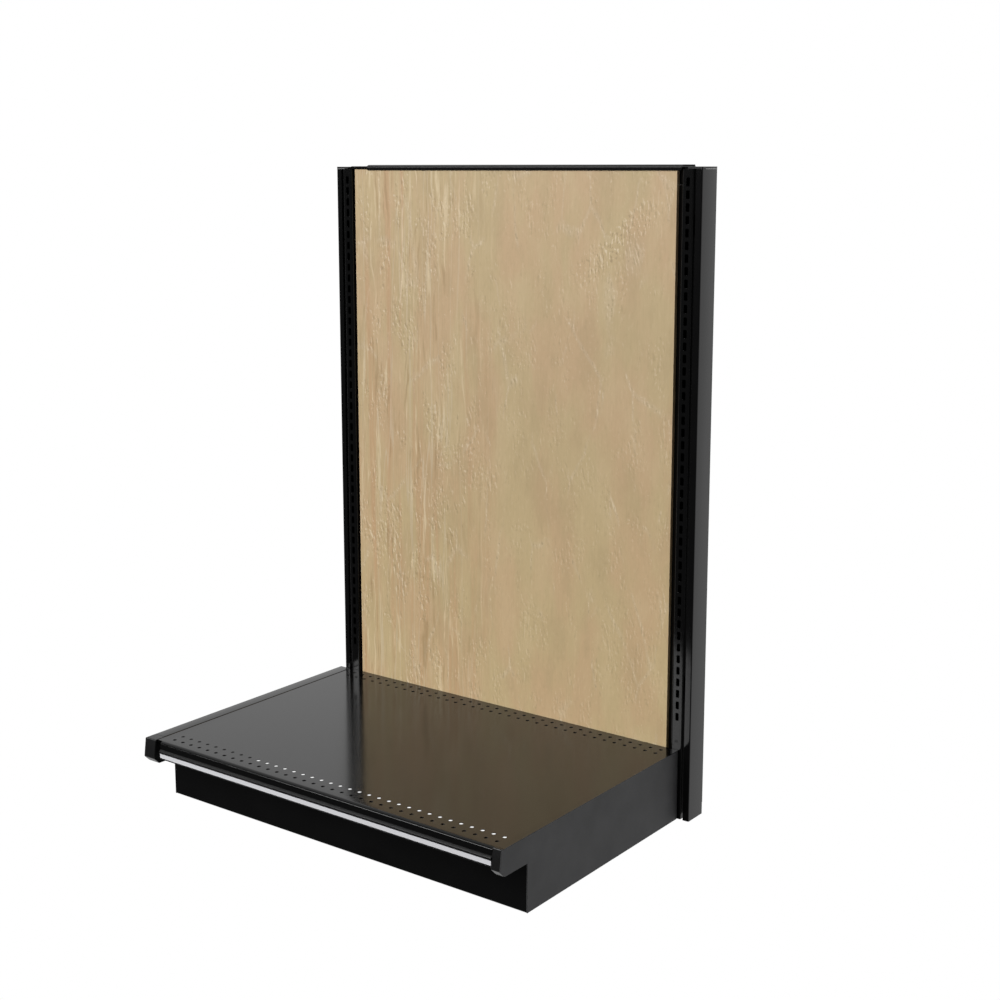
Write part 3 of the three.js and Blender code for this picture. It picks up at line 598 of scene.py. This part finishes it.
def leveler(node):
    lo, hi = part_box(node)
    centre = (lo + hi) / 2
    pad = (hi.x - lo.x) / 2
    profile = [
        (pad * 0.55, lo.z), (pad * 0.93, lo.z), (pad * 0.985, lo.z + 0.6 * MM),
        (pad, lo.z + 1.4 * MM), (pad, lo.z + 2.6 * MM), (pad * 0.96, lo.z + 3.4 * MM),
        (pad * 0.62, lo.z + 5.7 * MM), (pad * 0.5, lo.z + 6 * MM), (4.0 * MM, lo.z + 6 * MM),
    ]
    foot = turned(profile, centre.x, centre.y)
    stem = threaded_rod(4.8 * MM, centre.x, centre.y, lo.z + 5 * MM, hi.z - 0.8 * MM)
    point = [(4.0 * MM, hi.z - 1.6 * MM), (4.0 * MM, hi.z - 0.8 * MM), (3.4 * MM, hi.z)]
    tip = turned(point, centre.x, centre.y, 24)
    return combined(combined(stem, tip, "UNION"), foot, "UNION")


def nut(node):
    lo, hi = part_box(node)
    centre = (lo + hi) / 2
    across = min(hi.x - lo.x, hi.y - lo.y)
    corner = Vector((centre.x, centre.y, lo.z))
    outside = [[corner + Vector((r * math.cos(t), r * math.sin(t), z)) for r, t, z in ring]
               for ring in hexagon_rows(across, hi.z - lo.z)]
    bore = threaded_rod(5.5 * MM, centre.x, centre.y, lo.z - 2 * MM, hi.z + 2 * MM)
    return combined(loft(outside), bore, "DIFFERENCE")


def turn_onto_y(bm, x, z, y_end):
    """Lays a piece that was made upright at the origin along Y, its top end at y_end."""
    for vertex in bm.verts:
        a, b, c = vertex.co
        vertex.co = Vector((x + a, y_end - c, z + b))
    bmesh.ops.recalc_face_normals(bm, faces=bm.faces)
    return bm


def bracket_bolt(node):
    lo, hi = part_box(node)
    centre = (lo + hi) / 2
    length = hi.y - lo.y
    across = min(hi.x - lo.x, hi.z - lo.z)
    head_height = 5.3 * MM
    rings = [[Vector((r * math.cos(t), r * math.sin(t), length - z)) for r, t, z in ring]
             for ring in hexagon_rows(across, head_height, both_ends=False)]
    shank = threaded_rod(4.0 * MM, 0, 0, 0, length - head_height + MM, depth=0.45 * MM)
    return turn_onto_y(combined(loft(rings), shank, "UNION"), centre.x, centre.z, hi.y)


def filler_screw(node):
    """Pan-head screw along +X with a cross recess."""
    lo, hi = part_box(node)
    centre = (lo + hi) / 2
    length = hi.x - lo.x
    radius = (hi.y - lo.y) / 2
    head = 2.4 * MM
    profile = [
        (radius * 0.30, length), (radius * 0.62, length - 0.18 * MM),
        (radius * 0.88, length - 0.7 * MM), (radius, length - 1.5 * MM),
        (radius, length - head), (2.3 * MM, length - head),
    ]
    shank = threaded_rod(2.4 * MM, 0, 0, 0, length - head + 0.4 * MM, depth=0.4 * MM)
    body = combined(turned(profile, 0, 0), shank, "UNION")
    for wide, deep in ((2.4 * MM, 0.5 * MM), (0.5 * MM, 2.4 * MM)):
        recess = block((-wide, -deep, length - MM), (wide, deep, length + MM))
        body = combined(body, recess, "DIFFERENCE")
    for vertex in body.verts:
        a, b, c = vertex.co
        vertex.co = Vector((lo.x + length - c, centre.y + a, centre.z + b))
    bmesh.ops.recalc_face_normals(body, faces=body.faces)
    return body


# ------------------------------------------------------------------ rails and back panel
def top_rail():
    lo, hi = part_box("top_rail")
    corners = [
        (hi.y, lo.z),
        (hi.y, hi.z),
        *rolled_edge(lo.y, hi.z, RAIL_ROLL),
        (lo.y, hi.z - 11.9 * MM),
    ]
    radii = [0, BEND, RAIL_ROLL, 0.85 * MM, 0]
    middle = filleted(offset_line([Vector(p) for p in corners], SHEET / 2), radii, steps=10)
    faces = offset_line(middle, -SHEET / 2), offset_line(middle, SHEET / 2)
    return sheet_prism(faces, along_x, (lo.x, hi.x))


def rail_end(name, side):
    lo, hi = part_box(f"rail_end_{name}")
    panel_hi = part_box("back_panel")[1]
    rail_lo, rail_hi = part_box("top_rail")
    neck_x = sorted(((hi.x if side > 0 else lo.x), (rail_hi.x if side > 0 else rail_lo.x)))
    neck = block((neck_x[0], lo.y, panel_hi.z + 3 * MM), (neck_x[1], hi.y, hi.z))
    tongue = block((lo.x, panel_hi.y + 2 * MM, lo.z), (hi.x, hi.y, hi.z))
    return combined(neck, tongue, "UNION")


def mid_rail():
    lo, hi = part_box("mid_rail")
    path = [(hi.y, hi.z), (lo.y, hi.z), (lo.y, lo.z), (hi.y, lo.z)]
    return sheet_prism(fold(path), along_x, (lo.x, hi.x))


def bottom_rail():
    lo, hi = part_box("bottom_rail")
    path = [(hi.y, lo.z), (hi.y, hi.z), (lo.y, hi.z), (lo.y, lo.z)]
    return sheet_prism(fold(path), along_x, (lo.x, hi.x))


def back_panel():
    """Five plies, every other one a little short at the cut edges."""
    lo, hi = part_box("back_panel")
    ply = (hi.y - lo.y) / 5
    right, left = [], []
    for i in range(5):
        short = 0.25 * MM if i % 2 else 0
        for y in (lo.y + i * ply, lo.y + (i + 1) * ply):
            right.append((hi.x - short, y))
            left.append((lo.x + short, y))
    return prism(right + left[::-1], along_z, (lo.z, hi.z))


# ------------------------------------------------------------------ base frame
def nose_points():
    """The nose's outline in section: top front corner, front edge and chin."""
    lo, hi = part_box("filler_nose_cap")
    return {"top": (lo.y + NOSE["top"], hi.z), "front": (lo.y, lo.z + NOSE["front"]),
            "chin": (lo.y + NOSE["chin"], lo.z)}


def base_side(lo, hi, kick_y):
    nose = nose_points()
    corners = [
        nose["top"], nose["front"], nose["chin"], (kick_y, nose["chin"][1]),
        (kick_y, lo.z), (hi.y, lo.z), (hi.y, hi.z),
    ]
    return filleted(corners, [2.5 * MM, 3 * MM, 3 * MM, MM, MM, MM, MM], closed=True)


def right_bracket():
    lo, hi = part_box("base_bracket_right")
    kick_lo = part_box("kick_plate")[0]
    plate = prism(base_side(lo, hi, kick_lo.y), along_x, (lo.x, hi.x))
    deck_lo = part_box("deck_panel")[0]
    seat = block((lo.x - MM, deck_lo.y - 0.3 * MM, deck_lo.z - 0.3 * MM), (hi.x + MM, hi.y + MM, hi.z + MM))
    return combined(plate, seat, "DIFFERENCE")


def left_bracket():
    lo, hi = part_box("base_bracket_left")
    cap_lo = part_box("filler_nose_cap")[0]
    kick_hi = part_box("kick_plate")[1]
    front_y = kick_hi.y + 0.3 * MM
    step_z = cap_lo.z + 0.3 * MM
    corners = [(front_y, lo.z), (hi.y, lo.z), (hi.y, hi.z), (lo.y, hi.z), (lo.y, step_z), (front_y, step_z)]
    plate = prism(filleted(corners, MM, closed=True), along_x, (lo.x, hi.x))
    holes = []
    for number in (1, 2):
        screw_lo, screw_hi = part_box(f"filler_screw_{number}")
        middle = (screw_lo + screw_hi) / 2
        holes.append(prism(circle(2.9 * MM, (middle.y, middle.z)), along_x, (lo.x - MM, hi.x + MM)))
    return combined(plate, merged(holes), "DIFFERENCE")


def end_filler():
    """One sheet folded over: shaped outer side, top strip and inner flange."""
    lo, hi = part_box("base_end_filler")
    cap_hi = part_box("filler_nose_cap")[1]
    kick_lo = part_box("kick_plate")[0]
    path = [(hi.x, hi.z - 50 * MM), (hi.x, hi.z), (lo.x, hi.z), (lo.x, lo.z)]
    folded = sheet_prism(fold(path), along_y, (lo.y, hi.y))
    outline = prism(base_side(lo, hi, kick_lo.y), along_x, (lo.x - MM, hi.x + MM))
    shaped = combined(folded, outline, "INTERSECT")
    room = block((lo.x + SHEET, lo.y - MM, lo.z - MM), (hi.x + MM, cap_hi.y + 0.3 * MM, hi.z + MM))
    shaped = combined(shaped, room, "DIFFERENCE")
    holes = []
    for number in (1, 2):
        screw_lo, screw_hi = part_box(f"filler_screw_{number}")
        middle = (screw_lo + screw_hi) / 2
        holes.append(prism(circle(2.9 * MM, (middle.y, middle.z)), along_x, (hi.x - 3 * MM, hi.x + MM)))
    return combined(shaped, merged(holes), "DIFFERENCE")


def nose_cap(node, has_seat):
    lo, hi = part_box(node)
    nose = nose_points()
    corners = [nose["top"], nose["front"], nose["chin"], (hi.y, lo.z), (hi.y, hi.z)]
    cap = prism(filleted(corners, [2.5 * MM, 3 * MM, 3 * MM, MM, 0], closed=True), along_x, (lo.x, hi.x))
    if not has_seat:
        return cap
    deck_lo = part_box("deck_panel")[0]
    seat = block((lo.x - MM, deck_lo.y - 0.3 * MM, deck_lo.z - 0.3 * MM), (hi.x + MM, hi.y + MM, hi.z + MM))
    return combined(cap, seat, "DIFFERENCE")


def kick_plate():
    lo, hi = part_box("kick_plate")
    path = [(hi.y, hi.z), (lo.y, hi.z), (lo.y, lo.z), (hi.y, lo.z)]
    return sheet_prism(fold(path, 1.2 * MM, 1.8 * MM), along_x, (lo.x, hi.x))


def end_plate(name):
    lo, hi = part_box(f"bracket_end_plate_{name}")
    plate = prism(filleted(rectangle(lo.x, hi.x, lo.z, hi.z), 2 * MM, closed=True), along_y, (lo.y, hi.y))
    bolt_lo, bolt_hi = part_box(f"bracket_bolt_{name}_1")
    holes = [prism(circle(4.3 * MM, ((bolt_lo.x + bolt_hi.x) / 2, z)), along_y, (lo.y - MM, hi.y + MM))
             for z in BOLT_HEIGHTS]
    return combined(plate, merged(holes), "DIFFERENCE")


def bracket_foot(name, side):
    lo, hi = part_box(f"bracket_foot_{name}")
    wall, reach = (hi.x, lo.x) if side > 0 else (lo.x, hi.x)
    path = [(wall, hi.z), (wall, lo.z), (reach, lo.z)]
    if side > 0:
        faces = fold(path[::-1], 3 * MM, 3 * MM)
    else:
        faces = fold(path, 3 * MM, 3 * MM)
    angle = sheet_prism(faces, along_y, (lo.y, hi.y))
    stem_lo, stem_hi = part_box(f"leveler_front_{name}")
    spot = ((stem_lo.x + stem_hi.x) / 2, (stem_lo.y + stem_hi.y) / 2)
    drill = prism(circle(5.6 * MM, spot), along_z, (lo.z - MM, lo.z + 4 * MM))
    return combined(angle, drill, "DIFFERENCE")


def kick_clip(name):
    lo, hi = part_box(f"kick_clip_{name}")
    path = [(lo.y, hi.z), (lo.y, lo.z), (hi.y, lo.z)]
    return sheet_prism(fold(path, 2 * MM, 2.5 * MM), along_x, (lo.x, hi.x))


# ------------------------------------------------------------------ lift-off deck
def deck():
    """Top sheet, rolled front edge and the box folded back under it, as one sheet with its holes."""
    lo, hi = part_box("deck_panel")
    nose_lo, nose_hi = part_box("deck_nose")
    under = hi.z - DECK_SHEET - 0.3 * MM
    corners = [
        (hi.y, hi.z),
        *rolled_edge(nose_lo.y, hi.z, DECK_ROLL),
        (nose_lo.y, nose_lo.z),
        (nose_hi.y, nose_lo.z),
        (nose_hi.y, under),
        (nose_lo.y + DECK_ROLL, under),
    ]
    radii = [0, DECK_ROLL, 0.65 * MM, 1.6 * MM, 1.6 * MM, 1.6 * MM, 0]
    middle = filleted(offset_line([Vector(p) for p in corners], DECK_SHEET / 2), radii, steps=10)
    faces = offset_line(middle, -DECK_SHEET / 2), offset_line(middle, DECK_SHEET / 2)
    sheet = sheet_prism(faces, along_x, (lo.x, hi.x))
    for x0, x1 in ((lo.x - MM, nose_lo.x), (nose_hi.x, hi.x + MM)):
        corner = block((x0, nose_lo.y - MM, nose_lo.z - MM), (x1, lo.y, hi.z + MM))
        below = block((x0, lo.y - MM, nose_lo.z - MM), (x1, nose_hi.y + MM, hi.z - DECK_SHEET))
        sheet = combined(combined(sheet, corner, "DIFFERENCE"), below, "DIFFERENCE")
    middle_x = (lo.x + hi.x) / 2
    drilled = (hi.z - DECK_SHEET - 0.15 * MM, hi.z + 3 * MM)
    cutters = []
    for row in HOLE_ROWS:
        for i in range(HOLE["per_row"]):
            spot = (middle_x + (i - (HOLE["per_row"] - 1) / 2) * HOLE["pitch"], hi.y - row)
            cutters.append(prism(circle(HOLE["across"] / 2, spot, 20), along_z, drilled))
    return combined(sheet, merged(cutters), "DIFFERENCE")


def price_channel():
    """Extruded holder: a rounded bead and a lip over the label's window, a ledge under it."""
    lo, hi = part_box("price_channel")
    wall = 1.2 * MM
    floor, lip = hi.y - wall, lo.y + wall
    window_top, shoulder, ledge = hi.z - 7.9 * MM, hi.z - 3.6 * MM, lo.z + 2.2 * MM
    corners_and_radii = [
        ((hi.y, lo.z), 0.3), ((hi.y, hi.z), 0.2), ((hi.y - 0.6 * MM, hi.z), 0.6), ((lo.y, shoulder), 0.5),
        ((lo.y, window_top), 0.5), ((lip, window_top), 0.4), ((lip, shoulder - wall), 0.4),
        ((floor, hi.z - 3 * MM), 0.4), ((floor, ledge), 0.3), ((lip, ledge), 0.2), ((lip, lo.z), 0.2),
    ]
    corners = [corner for corner, radius in corners_and_radii]
    radii = [radius * MM for corner, radius in corners_and_radii]
    return prism(filleted(corners, radii, closed=True, steps=5), along_x, (lo.x, hi.x))


def label_insert():
    lo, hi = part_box("label_insert")
    return prism(filleted(rectangle(lo.x, hi.x, lo.z, hi.z), 1.5 * MM, closed=True), along_y, (lo.y, hi.y))


def edge_angle(name, side):
    lo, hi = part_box(f"deck_edge_angle_{name}")
    face, reach = (hi.x, lo.x) if side > 0 else (lo.x, hi.x)
    path = [(face, lo.z), (face, hi.z), (reach, hi.z)]
    if side < 0:
        path.reverse()
    return sheet_prism(fold(path), along_y, (lo.y, hi.y))


def rear_angle():
    lo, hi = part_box("deck_rear_angle")
    return sheet_prism(fold([(hi.y, lo.z), (hi.y, hi.z), (lo.y, hi.z)]), along_x, (lo.x, hi.x))


def stiffener(number):
    lo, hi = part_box(f"deck_stiffener_{number}")
    top, bottom = hi.z - SHEET / 2, lo.z + SHEET / 2
    near, far = lo.y + 12 * MM + SHEET / 2, hi.y - 12 * MM - SHEET / 2
    path = [(lo.y, top), (near, top), (near, bottom), (far, bottom), (far, top), (hi.y, top)]
    middle = filleted(path, BEND)
    faces = offset_line(middle, -SHEET / 2), offset_line(middle, SHEET / 2)
    return sheet_prism(faces, along_x, (lo.x, hi.x))


# ------------------------------------------------------------------ camera, light and stage
def add_camera():
    data = bpy.data.cameras.new("camera")
    data.lens = 56.93
    data.sensor_width = 36
    data.shift_y = -0.05
    data.clip_end = 50
    camera = bpy.data.objects.new("camera", data)
    camera.location = (2.0836, -2.4989, 1.3727)
    camera.rotation_euler = (math.radians(90 - 10.10), 0, math.radians(36.86))
    bpy.context.collection.objects.link(camera)
    bpy.context.scene.camera = camera


def add_softbox(name, place, aim, size, radiance):
    data = bpy.data.lights.new(name, "AREA")
    data.shape = "RECTANGLE"
    data.size, data.size_y = size
    data.energy = radiance * math.pi * size[0] * size[1]
    light = bpy.data.objects.new(name, data)
    light.location = place
    light.rotation_euler = (Vector(place) - Vector(aim)).to_track_quat("Z", "Y").to_euler()
    bpy.context.collection.objects.link(light)
    return light


WORLD = {"sides": 0.77, "top": 0.45, "front": 0.05}   # radiance seen in reflections


def add_world():
    """White surroundings with a dark side in front, seen only in reflections and as light."""
    world = bpy.data.worlds.new("studio")
    bpy.context.scene.world = world
    world.use_nodes = True
    tree = world.node_tree
    tree.nodes.clear()
    direction = add_node(tree, "ShaderNodeTexCoord").outputs["Generated"]
    parts = add_node(tree, "ShaderNodeSeparateXYZ", {"Vector": direction})
    front = ramp(tree, parts.outputs["Y"], -0.10, -0.45)
    low = ramp(tree, parts.outputs["Z"], -0.85, -0.55)
    dark = arithmetic(tree, "MULTIPLY", front, low)
    top = ramp(tree, parts.outputs["Z"], 0.45, 0.85, WORLD["sides"], WORLD["top"])
    darker = arithmetic(tree, "SUBTRACT", WORLD["front"], top)
    level = arithmetic(tree, "MULTIPLY_ADD", dark, darker, top)
    seen = add_node(tree, "ShaderNodeLightPath").outputs["Is Camera Ray"]
    white = (1, 1, 1, 1)
    around = add_node(tree, "ShaderNodeBackground", {"Color": white, "Strength": level})
    backdrop = add_node(tree, "ShaderNodeBackground", {"Color": white, "Strength": 1.0})
    shader = add_node(tree, "ShaderNodeMixShader",
                      {0: seen, 1: around.outputs[0], 2: backdrop.outputs[0]})
    add_node(tree, "ShaderNodeOutputWorld", {"Surface": shader.outputs[0]})


def add_floor():
    """Plain white floor, lit so evenly that nothing shows on it."""
    bm = prism(rectangle(-12, 12, -12, 12), along_z, (-0.02, -0.001))
    mesh = bpy.data.meshes.new("floor")
    bm.to_mesh(mesh)
    bm.free()
    floor = bpy.data.objects.new("floor", mesh)
    bpy.context.collection.objects.link(floor)
    made = bpy.data.materials.new("floor")
    made.use_nodes = True
    tree = made.node_tree
    tree.nodes.clear()
    glow = add_node(tree, "ShaderNodeEmission", {"Color": (1, 1, 1, 1), "Strength": 1.0})
    add_node(tree, "ShaderNodeOutputMaterial", {"Surface": glow.outputs[0]})
    mesh.materials.append(made)
    for ray in ("diffuse", "glossy", "transmission", "shadow"):
        setattr(floor, f"visible_{ray}", False)


# ------------------------------------------------------------------ the scene
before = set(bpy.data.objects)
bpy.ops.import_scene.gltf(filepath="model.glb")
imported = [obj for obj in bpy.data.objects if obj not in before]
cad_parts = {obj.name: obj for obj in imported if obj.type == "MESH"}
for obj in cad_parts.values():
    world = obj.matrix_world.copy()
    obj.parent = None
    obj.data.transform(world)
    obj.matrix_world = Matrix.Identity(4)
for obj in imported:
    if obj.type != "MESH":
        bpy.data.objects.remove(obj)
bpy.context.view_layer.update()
add_camera()
add_world()
add_floor()
add_softbox("key", (-5, -9, 6.03), (-5, 0, 6.03), (10, 5.94), 8.0)
bpy.context.scene.view_settings.view_transform = "Standard"

paint = powder_coat("powder coat", 0.11, 0.17, 0.0023)
# A rougher copy of the black paint, about 15 times lighter in shade: the lighter shade is painted sheen,
# standing in for the even grey reflection on the right bracket's side.
satin_with_painted_sheen = powder_coat("satin powder coat", 0.60, 0.70, 0.034)
plastic = black_plastic()
wood = plywood_face()
label = label_white()
zinc = zinc_plate()

for name, side in SIDES.items():
    piece(f"slotted_upright_{name}", slotted_tube(name), paint, "frame", f"upright_{name}")
    piece(f"trim_{name}", end_trim(name, side), paint, "frame", f"end_trim_{name}")
    for level in ("low", "high"):
        node = f"trim_clip_{level}_{name}"
        piece(f"{node}_sheet", trim_clip(node, side), paint, "frame", node)
    piece(f"tube_cap_{name}", top_cap(name, side), plastic, "frame", f"top_cap_{name}", edge=0.9 * MM,
          slot="black_plastic")
    piece(f"tube_plug_{name}", foot_plug(name), zinc, "frame", f"foot_plug_{name}", edge=0, slot="zinc")
    piece(f"panel_angle_{name}", panel_channel(name, side), paint, "frame", f"panel_channel_{name}")
    piece(f"rail_hook_{name}", rail_end(name, side), paint, "frame", f"rail_end_{name}", edge=0.8 * MM)
    piece(f"end_plate_{name}", end_plate(name), paint, "frame", f"bracket_end_plate_{name}")
    piece(f"foot_angle_{name}", bracket_foot(name, side), paint, "frame", f"bracket_foot_{name}")
    piece(f"kick_tab_{name}", kick_clip(name), zinc, "frame", f"kick_clip_{name}", slot="zinc")
    piece(f"deck_edge_{name}", edge_angle(name, side), paint, "deck", f"deck_edge_angle_{name}")
    for number in (1, 2):
        node = f"bracket_bolt_{name}_{number}"
        piece(f"{node}_hex", bracket_bolt(node), zinc, "frame", node, edge=0, slot="zinc")
    for place in ("front", "rear"):
        node = f"leveler_{place}_{name}"
        piece(f"{node}_screw", leveler(node), zinc, node, node, edge=0, slot="zinc")
        node = f"leveler_nut_{place}_{name}"
        piece(f"{node}_hex", nut(node), zinc, "frame", node, edge=0, slot="zinc")

for number in (1, 2):
    node = f"filler_screw_{number}"
    piece(f"{node}_pan", filler_screw(node), zinc, "frame", node, edge=0, slot="zinc")
    piece(f"stiffener_{number}", stiffener(number), paint, "deck", f"deck_stiffener_{number}")

piece("rolled_rail", top_rail(), paint, "frame", "top_rail")
piece("middle_rail", mid_rail(), paint, "frame", "mid_rail")
piece("lower_rail", bottom_rail(), paint, "frame", "bottom_rail")
piece("plywood_panel", back_panel(), wood, "frame", "back_panel", edge=0.1 * MM, slot="plywood")
# The right bracket wears the rougher copy of the paint, whose lighter shade is painted sheen.
piece("bracket_right", right_bracket(), satin_with_painted_sheen, "frame", "base_bracket_right", edge=MM)
piece("bracket_left", left_bracket(), paint, "frame", "base_bracket_left", edge=0.5 * MM)
piece("end_filler", end_filler(), paint, "frame", "base_end_filler")
for name, node, has_seat in (("left", "filler_nose_cap", False), ("right", "nose_cap_right", True)):
    piece(f"nose_block_{name}", nose_cap(node, has_seat), plastic, "frame", node, edge=0.8 * MM,
          slot="black_plastic")
piece("kick_panel", kick_plate(), paint, "frame", "kick_plate")
piece("deck_sheet", deck(), paint, "deck", "deck_panel", "deck_nose", edge=0.2 * MM)
piece("price_holder", price_channel(), plastic, "deck", "price_channel", edge=0, slot="black_plastic")
piece("label_strip", label_insert(), label, "deck", "label_insert", edge=0.15 * MM, slot="label_stock")
piece("deck_rear_edge", rear_angle(), paint, "deck", "deck_rear_angle")
